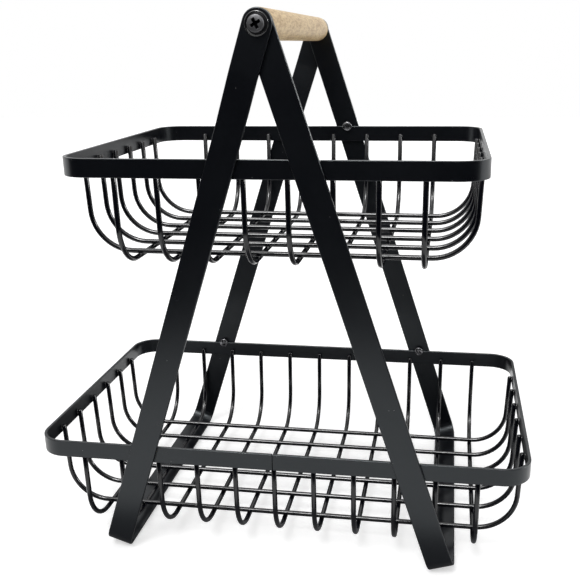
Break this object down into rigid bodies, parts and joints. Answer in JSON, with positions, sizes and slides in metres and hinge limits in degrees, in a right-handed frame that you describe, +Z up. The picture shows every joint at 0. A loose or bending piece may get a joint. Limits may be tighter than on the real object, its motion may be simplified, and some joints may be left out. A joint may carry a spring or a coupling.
{
  "type": "tiered wire basket",
  "caption": "countertop stand of two wire baskets one above the other, carried by A-shaped flat-bar legs with a round wooden grip across the top",
  "frame": {"origin": "centre of the floor area under the stand, at floor level", "axes": "+Z up, -Y is the front seen in the picture, +X to the viewer's right along the baskets' length"},
  "size_m": [0.388, 0.2652, 0.4132],
  "materials": {
    "black_steel": "semi-gloss black powder coat",
    "screw_steel": "black-plated steel with worn edges",
    "washer_black": "glossy black",
    "grip_wood": "pale fine-grained wood, matt oil"
  },
  "bodies": {
    "root": {"left_leg_frame": "black_steel", "right_leg_frame": "black_steel", "upper_rim": "black_steel", "lower_rim": "black_steel", "upper_long_wire_1": "black_steel", "upper_long_wire_2": "black_steel", "upper_long_wire_3": "black_steel", "upper_long_wire_4": "black_steel", "upper_long_wire_5": "black_steel", "upper_long_wire_6": "black_steel", "upper_cross_wire_1": "black_steel", "upper_cross_wire_2": "black_steel", "upper_cross_wire_3": "black_steel", "upper_cross_wire_4": "black_steel", "upper_cross_wire_5": "black_steel", "upper_cross_wire_6": "black_steel", "upper_cross_wire_7": "black_steel", "upper_cross_wire_8": "black_steel", "lower_long_wire_1": "black_steel", "lower_long_wire_2": "black_steel", "lower_long_wire_3": "black_steel", "lower_long_wire_4": "black_steel", "lower_long_wire_5": "black_steel", "lower_long_wire_6": "black_steel", "lower_cross_wire_1": "black_steel", "lower_cross_wire_2": "black_steel", "lower_cross_wire_3": "black_steel", "lower_cross_wire_4": "black_steel", "lower_cross_wire_5": "black_steel", "lower_cross_wire_6": "black_steel", "lower_cross_wire_7": "black_steel", "lower_cross_wire_8": "black_steel", "lower_cross_wire_9": "black_steel", "lower_cross_wire_10": "black_steel", "lower_cross_wire_11": "black_steel", "front_grip_screw": "screw_steel", "rear_grip_screw": "screw_steel", "upper_basket_screws": "screw_steel", "lower_basket_screws": "screw_steel", "front_grip_washer": "washer_black", "rear_grip_washer": "washer_black", "wooden_grip": "grip_wood"}
  },
  "joints": []
}
